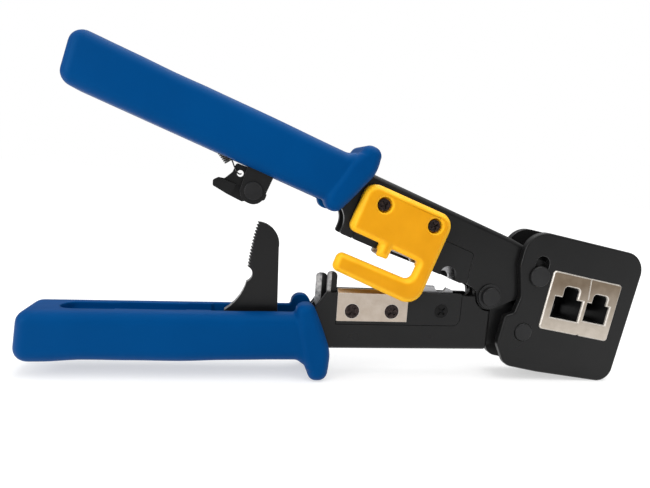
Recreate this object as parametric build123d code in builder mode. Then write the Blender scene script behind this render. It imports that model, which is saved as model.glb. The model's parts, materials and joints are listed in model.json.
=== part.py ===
"""Ratcheting crimping tool for modular plugs, open, standing on edge.

Millimetres. X runs along the tool toward its head, the front faces -Y, and +Z is up.
Side outlines are drawn in three planes seen from the front, each with its origin on a
pin: LOWER and UPPER on the main pivot, along each arm, and HEAD on the head's pin, along
the die plate. A plane's offset is the distance from the tool's mid-plane to the front.
"""

from build123d import *
import os
from math import atan2, cos, degrees, radians, sin, sqrt

# Stance
PIVOT_X = 48.938
PIVOT_Z = 30.762
LOWER_TILT = 0.64
OPEN_ANGLE = 20.0

# Linkage: the head hangs on the lower arm, and the drive pin rides in the head's slots
HEAD_PIN_AT = (13.36, -12.39)  # from the main pivot, along LOWER
DRIVE_PIN_AT = (13.34, 13.80)  # from the main pivot, along UPPER
SLOT_OFFSET = 0.4
RAM_TRAVEL = 4.5

# Layers, as distances from the mid-plane
SHEET = 1.7
ARM_OUT = 4.9
ARM_IN = ARM_OUT - SHEET
TONGUE_OUT = 3.0
TONGUE_IN = TONGUE_OUT - SHEET
HEAD_OUT = 7.5
HEAD_IN = 5.1
DIE_FACE = 8.1
GUARD_FACE = 9.3

# Arms
ARM_DEPTH = 20.4
UPPER_BACK = 22.4
TANG_END = -146
PIVOT_BOSS = 4.9
PIVOT_PIN = 2.5
HEAD_PIN = 2.3
DRIVE_PIN = 2.0
PIN_SHOULDER = 2.7
PAWL_AT = (-92.6, 1.0)
PAWL_PIN = 1.6
RUNNING = 0.08
INSERT_GAP = 0.2

# Grips
GROOVE_FLOOR = 10.4
GRIP_HALF = 10.0
FLANGE_HALF = 11.0
RACK_HALF = 1.5
TOOTH_RADIUS = 87.5


def side_plane(x, z, tilt):
    """The mid-plane seen from the front, with its origin at (x, z) and its x axis tilted."""
    along = (cos(radians(tilt)), 0, sin(radians(tilt)))
    return Plane(origin=(x, 0, z), x_dir=along, z_dir=(0, -1, 0))


LOWER = side_plane(PIVOT_X, PIVOT_Z, LOWER_TILT)
UPPER = side_plane(PIVOT_X, PIVOT_Z, LOWER_TILT - OPEN_ANGLE)
head_pin_point = LOWER.from_local_coords((*HEAD_PIN_AT, 0))
drive_pin_point = UPPER.from_local_coords((*DRIVE_PIN_AT, 0))
pin_line = drive_pin_point - head_pin_point
SLOT_REST = sqrt(pin_line.length**2 - SLOT_OFFSET**2)
HEAD_TILT = degrees(atan2(pin_line.Z, pin_line.X) - atan2(SLOT_REST, SLOT_OFFSET))
HEAD = side_plane(head_pin_point.X, head_pin_point.Z, HEAD_TILT)
DRIVE_IN_HEAD = (SLOT_OFFSET, SLOT_REST)
# The lower grip is drawn in a plane whose y runs down, away from the jaws
LOWER_OUTWARD = Plane(origin=LOWER.origin, x_dir=LOWER.x_dir, z_dir=(0, 1, 0))
# Along the lower arm, seen from above
LOWER_TOP = Plane(origin=LOWER.origin, x_dir=LOWER.x_dir, z_dir=LOWER.y_dir)


def outline(sketch, *corners):
    """Add a closed outline to the open sketch; a corner is (x, y) or (x, y, radius)."""
    Polygon(*[corner[:2] for corner in corners], align=None)
    for x, y, radius in (corner for corner in corners if len(corner) == 3):
        fillet(sketch.vertices().sort_by_distance((x, y, 0))[0], radius)


def slab(plane, low, high, *corners, mode=Mode.ADD):
    """A flat piece of the given outline, from `low` to `high` off the mid-plane."""
    with BuildSketch(plane.offset(low)) as face:
        outline(face, *corners)
    extrude(face.sketch, amount=high - low, mode=mode)


def box(plane, low, high, left, bottom, right, top, mode=Mode.ADD):
    """A slab with a rectangular outline."""
    corners = ((left, bottom), (right, bottom), (right, top), (left, top))
    slab(plane, low, high, *corners, mode=mode)


def pair(plane, low, high, *corners):
    """Two equal flat pieces, one on each side of the mid-plane."""
    slab(plane, low, high, *corners)
    slab(plane, -high, -low, *corners)


def long_edges(piece, plane, height, reach):
    """Edges that run along the plane's x axis at a given height, `reach` off the mid-plane."""
    level = plane.to_local_coords
    return (
        piece.edges()
        .filter_by(GeomType.LINE)
        .filter_by(lambda edge: abs(abs(edge.center().Y) - reach) < 0.05)
        .filter_by(lambda edge: abs(level(edge.center()).Y - height) < 0.05)
        .filter_by(lambda edge: edge.length > 2)
    )


def rod(plane, low, high, radius, *centres, mode=Mode.ADD):
    """Round bars across the tool, from `low` to `high` off the mid-plane."""
    with BuildSketch(plane.offset(low)) as section:
        with Locations(*centres):
            Circle(radius)
    extrude(section.sketch, amount=high - low, mode=mode)


def tube(plane, low, high, outer, inner, *centres):
    """Round spacers or washers across the tool."""
    with BuildSketch(plane.offset(low)) as section:
        with Locations(*centres):
            Circle(outer)
            Circle(inner, mode=Mode.SUBTRACT)
    extrude(section.sketch, amount=high - low)


def countersink(plane, face, wide, narrow, *centres):
    """Conical seats for screw heads, widest at `face` and narrowing toward the mid-plane."""
    inward = -1 if face > 0 else 1
    with BuildSketch(plane.offset(face)) as mouth:
        with Locations(*centres):
            Circle(wide)
    extrude(mouth.sketch, amount=inward * (wide - narrow), taper=45, mode=Mode.SUBTRACT)


def cross_screws(plane, face, head, shank, tip, *centres):
    """Countersunk screws with cross recesses, heads flush with `face`, ending at `tip`."""
    inward = -1 if face > tip else 1
    depth = head - shank
    with BuildSketch(plane.offset(face)) as heads:
        with Locations(*centres):
            Circle(head)
    extrude(heads.sketch, amount=inward * depth, taper=45)
    rod(plane, face + inward * depth, tip, shank, *centres)
    with BuildSketch(plane.offset(face)) as recess:
        with Locations(*centres):
            Rectangle(1.3 * head, 0.26 * head, rotation=45)
            Rectangle(0.26 * head, 1.3 * head, rotation=45)
    extrude(recess.sketch, amount=inward * 0.5 * depth, mode=Mode.SUBTRACT)


def finish(piece, label):
    """Label a finished piece and write its STEP file."""
    piece.part.label = label
    export_step(piece.part, f"parts/{label}.step")


os.makedirs("parts", exist_ok=True)

# ---------------------------------------------------------------- lower handle

RIVETS_AT = ((-90.0, -14.0), (-80.0, -14.0))
BLADE_SCREWS_AT = ((-50.8, -6.6), (-36.5, -6.5))
INSERT_SCREW_AT = (-18.0, -6.0)
JAW_LEFT, JAW_RIGHT, JAW_FLOOR = -56.2, -10.7, -11.2
BLADE_RIGHT, BLADE_FLOOR, BLADE_THICK = -30.7, -10.2, 1.5
NOTCH_AT = -18.3
SCREW_HEAD, SCREW_SHANK = 2.6, 1.4

# Bent channel: two walls and a floor, with a set-in tongue that carries both pivots
with BuildPart() as lower_arm:
    slab(
        LOWER,
        -ARM_OUT,
        ARM_OUT,
        (TANG_END, -ARM_DEPTH),
        (1.6, -ARM_DEPTH, 1.5),
        (1.6, -0.3),
        (-60.0, -0.3, 0.8),
        (-65.4, -8.0, 2.0),
        (-68.0, -11.5, 2.0),
        (TANG_END, -11.5),
    )
    fillet(long_edges(lower_arm, LOWER, -ARM_DEPTH, ARM_OUT), 2.0)
    box(LOWER, -ARM_IN, ARM_IN, TANG_END - 1, -ARM_DEPTH + SHEET, 3, 1, mode=Mode.SUBTRACT)
    rod(LOWER, -ARM_OUT, ARM_OUT, PIVOT_BOSS + 0.7, (0, 0), mode=Mode.SUBTRACT)
    for low, high in ((TONGUE_IN, TONGUE_OUT), (-TONGUE_OUT, -TONGUE_IN)):
        with BuildSketch(LOWER.offset(low)) as tongue:
            outline(
                tongue,
                (-9, -18.7),
                (1.5, -18.7),
                (13.4, -16.8),
                (17, -9.6),
                (3.6, 3.4),
                (-4.7, 0),
                (-9, -3),
            )
            Circle(5.0)
            with Locations(HEAD_PIN_AT):
                Circle(4.6)
        extrude(tongue.sketch, amount=high - low)
    pair(LOWER, TONGUE_OUT, ARM_IN, (-9, -18.7), (1.6, -18.7), (1.6, -6), (-9, -6))
    rod(LOWER, -ARM_OUT, ARM_OUT, PIVOT_PIN, (0, 0), mode=Mode.SUBTRACT)
    rod(LOWER, -ARM_OUT, ARM_OUT, HEAD_PIN + RUNNING, HEAD_PIN_AT, mode=Mode.SUBTRACT)
    rod(LOWER, -ARM_OUT, ARM_OUT, 1.5, *RIVETS_AT, mode=Mode.SUBTRACT)
    # The front wall is open over the jaw insert
    slab(
        LOWER,
        ARM_IN,
        ARM_OUT,
        (JAW_LEFT - INSERT_GAP, JAW_FLOOR - INSERT_GAP),
        (JAW_RIGHT + INSERT_GAP, JAW_FLOOR - INSERT_GAP, 2.5 + INSERT_GAP),
        (JAW_RIGHT + INSERT_GAP, 1),
        (JAW_LEFT - INSERT_GAP, 1),
        mode=Mode.SUBTRACT,
    )
finish(lower_arm, "lower_arm")

# Upright leaves inside the channel that line the arms up as they close
with BuildPart() as alignment_fork:
    slab(LOWER, 1.3, TONGUE_OUT, (-59.6, -13.6), (-56.4, -13.6), (-56.4, 6.6, 1.4), (-59.6, 6.6, 1.4))
    slab(
        LOWER,
        -TONGUE_OUT,
        -1.3,
        (-66.4, -13.6),
        (-58.9, -13.6),
        (-58.9, 5.2, 1.6),
        (-62.7, 5.2, 1.6),
        (-62.7, -4.5, 3.0),
        (-66.4, -9.0, 1.0),
    )
    box(LOWER, -TONGUE_OUT, TONGUE_OUT, -66.4, -15.0, -56.4, -13.6)
finish(alignment_fork, "alignment_fork")

# Block between the walls that backs the blades and fills the opening in the front wall
with BuildPart() as lower_jaw:
    box(LOWER, -ARM_IN, ARM_IN, JAW_LEFT, JAW_FLOOR, JAW_RIGHT - 1, -1.6)
    box(LOWER, ARM_IN, ARM_OUT - BLADE_THICK, JAW_LEFT, JAW_FLOOR, BLADE_RIGHT, -1.6)
    slab(
        LOWER,
        ARM_IN,
        ARM_OUT,
        (JAW_LEFT, JAW_FLOOR),
        (JAW_RIGHT, JAW_FLOOR, 2.5),
        (JAW_RIGHT, 0.3),
        (BLADE_RIGHT, 0.3),
        (BLADE_RIGHT, BLADE_FLOOR),
        (JAW_LEFT, BLADE_FLOOR),
    )
    box(LOWER, 1.7, 2.9, -25.2, -9.0, -13.4, 0, mode=Mode.SUBTRACT)
    rod(LOWER, -ARM_IN, ARM_OUT, SCREW_SHANK, INSERT_SCREW_AT, *BLADE_SCREWS_AT, mode=Mode.SUBTRACT)
    countersink(LOWER, ARM_OUT, SCREW_HEAD, SCREW_SHANK, INSERT_SCREW_AT)
finish(lower_jaw, "lower_jaw")

# Ground blade plate: its bevelled front meets the cutting edge at the back
with BuildPart() as cutting_blade:
    box(LOWER, ARM_OUT - BLADE_THICK, ARM_OUT, JAW_LEFT, BLADE_FLOOR, BLADE_RIGHT, 1.1)
    chamfer(long_edges(cutting_blade, LOWER, 1.1, ARM_OUT), 1.2, 1.4)
    rod(LOWER, ARM_IN, ARM_OUT, SCREW_SHANK, *BLADE_SCREWS_AT, mode=Mode.SUBTRACT)
    countersink(LOWER, ARM_OUT, SCREW_HEAD, SCREW_SHANK, *BLADE_SCREWS_AT)
finish(cutting_blade, "cutting_blade")

with BuildPart() as cutting_blade_screws:
    cross_screws(LOWER, ARM_OUT, SCREW_HEAD, SCREW_SHANK, -2.5, *BLADE_SCREWS_AT)
finish(cutting_blade_screws, "cutting_blade_screws")

with BuildPart() as lower_jaw_screw:
    cross_screws(LOWER, ARM_OUT, SCREW_HEAD, SCREW_SHANK, -ARM_IN, INSERT_SCREW_AT)
finish(lower_jaw_screw, "lower_jaw_screw")

# Cable stripping blade with a half-round notch
with BuildPart() as lower_notch_blade:
    with BuildSketch(LOWER.offset(1.7)) as blade:
        outline(blade, (-25.2, -9.0), (-13.4, -9.0), (-13.4, 1.2), (-17, 2.6), (-25.2, 2.8, 1.0))
        with Locations((NOTCH_AT, 3.0)):
            Circle(2.3, mode=Mode.SUBTRACT)
    extrude(blade.sketch, amount=1.2)
    rod(LOWER, 1.7, 2.9, SCREW_SHANK, INSERT_SCREW_AT, mode=Mode.SUBTRACT)
finish(lower_notch_blade, "lower_notch_blade")

with BuildPart() as main_pivot_pin:
    rod(LOWER, -ARM_OUT - 1.9, ARM_OUT + 1.9, PIVOT_PIN, (0, 0))
    rod(LOWER, ARM_OUT + 0.7, ARM_OUT + 1.9, 3.4, (0, 0))
    rod(LOWER, -ARM_OUT - 1.9, -ARM_OUT - 0.7, 3.4, (0, 0))
    fillet(main_pivot_pin.edges().filter_by(lambda edge: abs(edge.center().Y) > ARM_OUT + 1.8), 0.4)
finish(main_pivot_pin, "main_pivot_pin")

with BuildPart() as pivot_washers:
    tube(LOWER, ARM_OUT + 0.1, ARM_OUT + 0.7, 4.5, PIVOT_PIN, (0, 0))
    tube(LOWER, -ARM_OUT - 0.7, -ARM_OUT - 0.1, 4.5, PIVOT_PIN, (0, 0))
finish(pivot_washers, "pivot_washers")

# Torsion spring round the main pivot, between the tongue's walls
SPRING_WIRE = 1.0
with BuildPart() as return_spring:
    tube(LOWER, -TONGUE_IN + 0.15, TONGUE_IN - 0.15, 4.4, 3.3, (0, 0))
    box(LOWER, 0.15, 0.15 + SPRING_WIRE, -4.4, -15.0, -3.4, 0)
    box(UPPER, -0.15 - SPRING_WIRE, -0.15, -4.4, 0, -3.4, 17.0)
finish(return_spring, "return_spring")

# Ratchet rack: fine teeth on an arc about the main pivot, a notch below them, a flared root
TOOTH_DEPTH = 0.8
TOOTH_COUNT = 14
TEETH_FROM, TEETH_TO = 14.8, 4.7  # degrees above the lower arm's axis
with BuildPart() as ratchet_rack:
    with BuildSketch(LOWER.offset(-RACK_HALF)) as rack:
        with BuildLine():
            step = (TEETH_FROM - TEETH_TO) / TOOTH_COUNT / 2
            teeth = []
            for index in range(2 * TOOTH_COUNT + 1):
                angle = radians(TEETH_FROM - index * step)
                radius = TOOTH_RADIUS - TOOTH_DEPTH * (index % 2)
                teeth.append((-radius * cos(angle), radius * sin(angle)))
            Polyline(*teeth)
            ThreePointArc(teeth[-1], (-85.5, 4.0), (-87.3, 1.9))
            ThreePointArc((-87.3, 1.9), (-89.3, -2.9), (-94.3, -8.0))
            Polyline((-94.3, -8.0), (-94.3, -18.2), (-76.0, -18.2), (-77.0, 14.0))
            ThreePointArc((-77.0, 14.0), (-79.0, 20.1), teeth[0])
        make_face()
    extrude(amount=2 * RACK_HALF)
    rod(LOWER, -RACK_HALF, RACK_HALF, 1.5, *RIVETS_AT, mode=Mode.SUBTRACT)
finish(ratchet_rack, "ratchet_rack")

with BuildPart() as rack_rivets:
    rod(LOWER, -ARM_OUT, ARM_OUT, 1.5, *RIVETS_AT)
    tube(LOWER, RACK_HALF, ARM_IN, 2.6, 1.5, *RIVETS_AT)
    tube(LOWER, -ARM_IN, -RACK_HALF, 2.6, 1.5, *RIVETS_AT)
finish(rack_rivets, "rack_rivets")


def moulded_grip(grip, plane, end, inner, outer, tip, rim):
    """Grip with a finger flange. In `plane`, y runs from the jaws' line to the grip's back."""
    slab(
        plane,
        -GRIP_HALF,
        GRIP_HALF,
        (end + 1.6, inner + 0.7, 4.2),
        (end, outer, 4.5),
        (-66.0, outer),
        (-66.0, inner),
    )
    rims = grip.edges().filter_by(lambda edge: abs(edge.center().Y) > GRIP_HALF - 0.05)
    fillet(rims.filter_by(lambda edge: plane.to_local_coords(edge.center()).X < -66.5), 3.9)
    slab(
        plane,
        -FLANGE_HALF,
        FLANGE_HALF,
        (-71.7, tip, 3.2),
        (-65.1, tip, 3.2),
        (-58.2, tip + 15.2, 9.0),
        (-58.9, rim, 3.2),
        (-65.0, rim, 2.8),
    )
    rims = grip.edges().filter_by(lambda edge: abs(edge.center().Y) > FLANGE_HALF - 0.05)
    fillet(rims, 3.0)
    # The arm runs out between two rounded lobes
    box(plane, -ARM_OUT, ARM_OUT, -73, tip - 1, -57, inner + 0.2, mode=Mode.SUBTRACT)


with BuildPart() as lower_grip:
    moulded_grip(lower_grip, LOWER_OUTWARD, -158.2, 7.0, 23.4, 3.4, 30.06)
    box(LOWER, -ARM_OUT, ARM_OUT, TANG_END, -ARM_DEPTH, -57, -11.5, mode=Mode.SUBTRACT)
    box(LOWER, -ARM_OUT, ARM_OUT, -73, -12, -57, 0, mode=Mode.SUBTRACT)
    # Mouth for the rack, and a shallow groove that runs on from it
    box(LOWER, -ARM_OUT, ARM_OUT, -98.4, -12, -72.0, 0, mode=Mode.SUBTRACT)
    with BuildSketch(LOWER_TOP.offset(-GROOVE_FLOOR)) as groove:
        with Locations((-119, 0)):
            SlotOverall(53.6, 8.4)
    extrude(groove.sketch, amount=GROOVE_FLOOR, mode=Mode.SUBTRACT)
finish(lower_grip, "lower_grip")

# ---------------------------------------------------------------- upper handle

GUARD_SCREWS_AT = ((-51.2, 14.2), (-31.9, 14.7))
REAR_SCREWS_AT = ((-50.0, 8.2), (-26.0, 8.2))
ANCHOR_AT = (-113.0, 12.6)
WINDOW_TOP = 11.7
UPPER_CORE = 4.8

# Bent channel with its web along the back; the nose carries the drive pin
with BuildPart() as upper_arm:
    with BuildSketch(UPPER.offset(-ARM_OUT)) as side:
        outline(
            side,
            (TANG_END, UPPER_BACK),
            (TANG_END, 8.8),
            (-60.6, 8.8, 7.0),
            (-60.6, -0.5, 0.8),
            (-46.0, -0.5),
            (-25.0, 0.1),
            (-13.0, 0.1),
            (-10.4, 0.9),
            (-5.6, -0.1),
            (-3.5, -3.4),
            (3.5, -3.4),
            (17.65, 9.63),
            (15.4, 19.4),
            (4.3, 22.0),
            (-1.0, UPPER_BACK),
        )
        Circle(PIVOT_BOSS)
        with Locations(DRIVE_PIN_AT):
            Circle(6.0)
    extrude(side.sketch, amount=2 * ARM_OUT)
    fillet(long_edges(upper_arm, UPPER, UPPER_BACK, ARM_OUT), 1.9)
    box(UPPER, -ARM_IN, ARM_IN, TANG_END - 1, -10, 2, UPPER_BACK - SHEET, mode=Mode.SUBTRACT)
    box(UPPER, -ARM_IN, ARM_IN, 2, -10, 25, 30, mode=Mode.SUBTRACT)
    pair(UPPER, ARM_IN, ARM_OUT, (-97.4, 9), (-96.5, -3.3, 3.8), (-88.7, -3.3, 3.8), (-88.3, 9))
    rod(UPPER, -ARM_OUT, ARM_OUT, PIVOT_PIN + RUNNING, (0, 0), mode=Mode.SUBTRACT)
    rod(UPPER, -ARM_OUT, ARM_OUT, DRIVE_PIN + 0.25, DRIVE_PIN_AT, mode=Mode.SUBTRACT)
    rod(UPPER, -ARM_OUT, ARM_OUT, PAWL_PIN, PAWL_AT, mode=Mode.SUBTRACT)
    rod(UPPER, -ARM_OUT, ARM_OUT, 1.0, ANCHOR_AT, mode=Mode.SUBTRACT)
    rod(UPPER, ARM_IN, ARM_OUT, 1.1, *GUARD_SCREWS_AT, mode=Mode.SUBTRACT)
    rod(UPPER, -ARM_OUT, -ARM_IN, SCREW_SHANK, *REAR_SCREWS_AT, mode=Mode.SUBTRACT)
    countersink(UPPER, -ARM_OUT, SCREW_HEAD, SCREW_SHANK, *REAR_SCREWS_AT)
    # The front wall is open over the jaw insert
    slab(
        UPPER,
        ARM_IN,
        ARM_OUT,
        (-56.0 - INSERT_GAP, -2),
        (-56.0 - INSERT_GAP, WINDOW_TOP + INSERT_GAP, 1.2),
        (-12.7 + INSERT_GAP, WINDOW_TOP + INSERT_GAP, 1.2),
        (-10.4 + INSERT_GAP, 0.9),
        (-10.4 + INSERT_GAP, -2),
        mode=Mode.SUBTRACT,
    )
finish(upper_arm, "upper_arm")

# Front plate and core that back the upper blades, with a round clearance for cable
with BuildPart() as upper_jaw:
    with BuildSketch(UPPER.offset(ARM_IN)) as plate:
        outline(
            plate,
            (-56.0, -0.5, 0.8),
            (-46.8, -0.5),
            (-46.8, 1.6),
            (-29.0, 1.6),
            (-25.0, 0.1),
            (-13.0, 0.1),
            (-10.4, 0.9),
            (-12.7, WINDOW_TOP, 1.2),
            (-56.0, WINDOW_TOP, 1.2),
        )
        with Locations((NOTCH_AT, 1.2)):
            Circle(3.1, mode=Mode.SUBTRACT)
    extrude(amount=SHEET)
    box(UPPER, -ARM_IN, ARM_IN, -55.4, UPPER_CORE, -13.4, WINDOW_TOP)
    box(UPPER, 1.9, ARM_IN, -47.4, UPPER_CORE, -28.5, 9.0, mode=Mode.SUBTRACT)
    box(UPPER, 0.3, 1.5, -23.5, UPPER_CORE, -13.6, 9.0, mode=Mode.SUBTRACT)
    rod(UPPER, -ARM_IN, 1.9, SCREW_SHANK, *REAR_SCREWS_AT, mode=Mode.SUBTRACT)
finish(upper_jaw, "upper_jaw")

# Flat-cable stripping blade with a stop at each end of its edge
with BuildPart() as stripping_blade:
    slab(
        UPPER,
        1.9,
        ARM_IN,
        (-47.4, 9.0),
        (-47.4, -1.9, 0.4),
        (-44.2, -2.5, 0.4),
        (-42.8, 0.9),
        (-33.4, 0.9),
        (-32.6, 0.2, 0.3),
        (-28.8, 0.2, 0.3),
        (-28.5, 9.0),
    )
finish(stripping_blade, "stripping_blade")

with BuildPart() as upper_notch_blade:
    with BuildSketch(UPPER.offset(0.3)) as blade:
        outline(blade, (-23.5, 9.0), (-23.5, 0.0), (-13.6, 0.0), (-13.6, 9.0))
        with Locations((NOTCH_AT, -0.3)):
            Circle(2.3, mode=Mode.SUBTRACT)
    extrude(amount=1.2)
finish(upper_notch_blade, "upper_notch_blade")

with BuildPart() as upper_jaw_screws:
    cross_screws(UPPER, -ARM_OUT, SCREW_HEAD, SCREW_SHANK, 1.9, *REAR_SCREWS_AT)
finish(upper_jaw_screws, "upper_jaw_screws")

# Moulded guard: a plate on the arm, a leg down its right side and a bar across the jaws
BAR_BACK = 6.2
with BuildPart() as blade_guard:
    slab(
        UPPER,
        ARM_OUT,
        GUARD_FACE,
        (-59.1, 2.0, 2.5),
        (-59.1, 19.6, 4.5),
        (-25.7, 19.9, 5.0),
        (-25.6, -13.9, 6.0),
        (-59.2, -12.4, 2.2),
        (-59.2, -5.9, 2.2),
        (-31.9, -5.9, 2.5),
        (-31.9, 1.2, 0.6),
        (-42.3, 1.5),
        (-42.5, -2.3),
        (-46.6, -2.5),
        (-46.9, 1.8),
    )
    box(UPPER, ARM_OUT, BAR_BACK, -61, -15, -24, -0.6, mode=Mode.SUBTRACT)
    front_edges = blade_guard.edges().filter_by(lambda edge: edge.center().Y < -GUARD_FACE + 0.02)
    chamfer(front_edges, 1.6)
    rod(UPPER, ARM_OUT, GUARD_FACE, 1.5, *GUARD_SCREWS_AT, mode=Mode.SUBTRACT)
    rod(UPPER, GUARD_FACE - 2.6, GUARD_FACE, 2.7, *GUARD_SCREWS_AT, mode=Mode.SUBTRACT)
finish(blade_guard, "blade_guard")

with BuildPart() as guard_screws:
    rod(UPPER, ARM_IN, GUARD_FACE - 2.6, 1.1, *GUARD_SCREWS_AT)
    rod(UPPER, GUARD_FACE - 2.6, GUARD_FACE - 1.3, 2.1, *GUARD_SCREWS_AT)
    with BuildSketch(UPPER.offset(GUARD_FACE - 1.3)) as recess:
        with Locations(*GUARD_SCREWS_AT):
            Rectangle(2.7, 0.55, rotation=45)
            Rectangle(0.55, 2.7, rotation=45)
    extrude(recess.sketch, amount=-0.8, mode=Mode.SUBTRACT)
finish(guard_screws, "guard_screws")

with BuildPart() as upper_grip:
    moulded_grip(upper_grip, UPPER, -159.2, 7.3, 24.8, 5.2, 30.1)
    box(UPPER, -ARM_OUT, ARM_OUT, TANG_END, 8.8, -57, UPPER_BACK, mode=Mode.SUBTRACT)
    box(UPPER, -ARM_OUT, ARM_OUT, -73, 4, -57, 9, mode=Mode.SUBTRACT)
    # Slot for the rack and the pawl, wider round the pawl's ears
    box(UPPER, -2.8, 2.8, -111.0, 0, -72.0, 9, mode=Mode.SUBTRACT)
    box(UPPER, -ARM_OUT, ARM_OUT, -97.4, 0, -88.0, 9, mode=Mode.SUBTRACT)
finish(upper_grip, "upper_grip")

with BuildPart() as pawl_pin:
    rod(UPPER, -ARM_OUT - 0.6, ARM_OUT + 0.6, PAWL_PIN, PAWL_AT)
    rod(UPPER, ARM_OUT, ARM_OUT + 0.6, 3.05, PAWL_AT)
    rod(UPPER, -ARM_OUT - 0.6, -ARM_OUT, 3.05, PAWL_AT)
    fillet(pawl_pin.edges().filter_by(lambda edge: abs(edge.center().Y) > ARM_OUT + 0.5), 0.3)
finish(pawl_pin, "pawl_pin")

with BuildPart() as spring_anchor_pin:
    rod(UPPER, -ARM_OUT, ARM_OUT, 1.0, ANCHOR_AT)
finish(spring_anchor_pin, "spring_anchor_pin")

# Extension spring: its coils taper off into a hook through the lever's hole
SPRING_HOOK_AT = (-99.6, 5.9)
with BuildPart() as pawl_spring:
    run = Vector(*ANCHOR_AT) - Vector(*SPRING_HOOK_AT)
    coil_start = Vector(*SPRING_HOOK_AT) + run * 0.3
    coil_end = Vector(*SPRING_HOOK_AT) + run * 0.85
    corner = UPPER.from_local_coords((coil_start.X, coil_start.Y, 0))
    far = UPPER.from_local_coords((coil_end.X, coil_end.Y, 0))
    with BuildSketch(Plane(origin=corner, z_dir=far - corner)):
        Circle(1.7)
        Circle(1.0, mode=Mode.SUBTRACT)
    extrude(amount=(far - corner).length)
finish(pawl_spring, "pawl_spring")

# ---------------------------------------------------------------- pawl lever

# The tip stands just clear of the rack's teeth
TIP_X = -TOOTH_RADIUS - 0.35
with BuildPart() as pawl_lever:
    with BuildSketch(UPPER.offset(-1.4)) as lever:
        outline(
            lever,
            (TIP_X, 1.5, 0.9),
            (TIP_X, -0.7, 0.9),
            (-89.8, -1.1),
            (-92.6, -2.4),
            (-94.6, -3.8, 0.5),
            (-99.9, -3.4),
            (-105.2, -2.6, 0.8),
            (-105.8, -0.8, 0.8),
            (-104.6, 0.6, 0.8),
            (-102.6, 1.0, 1.2),
            (-101.0, 4.0, 1.5),
            (-101.0, 7.2, 0.8),
            (-97.0, 7.4, 0.8),
            (-92.6, 4.4),
            (-89.6, 2.6),
        )
        with Locations(PAWL_AT):
            Circle(3.3)
            Circle(PAWL_PIN + RUNNING, mode=Mode.SUBTRACT)
        with Locations((-98.5, 4.5)):
            Circle(1.1, mode=Mode.SUBTRACT)
    extrude(amount=2.8)
    # Thumb pad, and hub collars that centre the lever between the arm's ears
    for low, high in ((1.4, 2.9), (-2.9, -1.4)):
        slab(
            UPPER,
            low,
            high,
            (-105.2, -2.6, 0.8),
            (-105.8, -0.8, 0.8),
            (-104.6, 0.6, 0.8),
            (-98.4, 0.8, 0.4),
            (-98.8, -3.2, 0.4),
        )
        tube(UPPER, low, high, 3.0, PAWL_PIN + RUNNING, PAWL_AT)
finish(pawl_lever, "pawl_lever")

# ---------------------------------------------------------------- crimping head

DIE_LEFT, DIE_RIGHT, DIE_FLOOR, DIE_TOP = 5.5, 34.7, 2.6, 24.6
DIE_OUTLINE = (
    (DIE_LEFT, DIE_FLOOR, 1.2),
    (DIE_RIGHT, DIE_FLOOR, 1.2),
    (DIE_RIGHT, DIE_TOP, 1.2),
    (DIE_LEFT, DIE_TOP, 1.2),
)
DIE_BACK = DIE_FACE - 1.0
BLOCK_LEFT, BLOCK_FLOOR, BLOCK_BACK = 8.1, 4.4, -3.9
WIDE_PLUG_X, NARROW_PLUG_X = 14.6, 27.2
HEAD_PIN_AT_HEAD = (0, 0)
SPIGOT = 1.4
SPACERS_AT = ((9.5, 33.0), (37.6, 31.0), (37.4, -7.6), (11.5, -10.4))


def head_plate(low, high, slot_half):
    """Side plate of the head, with its slot for the drive pin and hole for the head's pin."""
    with BuildSketch(HEAD.offset(low)) as plate:
        outline(
            plate,
            (-8.6, 4.6, 2.0),
            (-5.4, 6.2, 1.2),
            (-4.4, 12.5, 6.0),
            (-8.0, 23.5, 5.0),
            (-7.8, 37.2, 8.5),
            (42.1, 37.2, 7.5),
            (41.1, -13.0, 6.0),
            (10.0, -13.9, 20.0),
            (-3.6, -13.6, 5.0),
            (-8.8, -6.0, 5.0),
        )
        with Locations(HEAD_PIN_AT_HEAD):
            Circle(HEAD_PIN, mode=Mode.SUBTRACT)
        with Locations((SLOT_OFFSET, SLOT_REST + RAM_TRAVEL / 2)):
            slot_length = RAM_TRAVEL + 2 * slot_half + 0.5
            SlotOverall(slot_length, 2 * slot_half, rotation=90, mode=Mode.SUBTRACT)
    extrude(plate.sketch, amount=high - low)


def plug_profiles():
    """Openings for the wide and the narrow plug, each with a slot for its latch above."""
    for centre, half, floor, latch, latch_half, top in (
        (WIDE_PLUG_X, 5.9, 7.55, 14.85, 3.15, 19.8),
        (NARROW_PLUG_X, 4.8, 8.5, 27.3, 3.05, 19.2),
    ):
        with Locations((centre, (floor + 15.5) / 2)):
            Rectangle(2 * half, 15.5 - floor)
        with Locations((latch, (15 + top) / 2)):
            RectangleRounded(2 * latch_half, top - 15, 1.4)
        with Locations((latch, 15.6)):
            Rectangle(2 * latch_half, 1.6)


with BuildPart() as head_front_plate:
    head_plate(HEAD_IN, HEAD_OUT, PIN_SHOULDER + RUNNING)
    slab(HEAD, HEAD_IN, HEAD_OUT, *DIE_OUTLINE, mode=Mode.SUBTRACT)
    rod(HEAD, HEAD_IN, HEAD_IN + SPIGOT, 1.5, *SPACERS_AT, mode=Mode.SUBTRACT)
    rod(HEAD, HEAD_OUT - 0.9, HEAD_OUT, 3.5, HEAD_PIN_AT_HEAD, mode=Mode.SUBTRACT)
    outer_rim = head_front_plate.faces().sort_by(Axis.Y)[0].outer_wire().edges()
    fillet(outer_rim, 0.8)
finish(head_front_plate, "head_front_plate")

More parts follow.
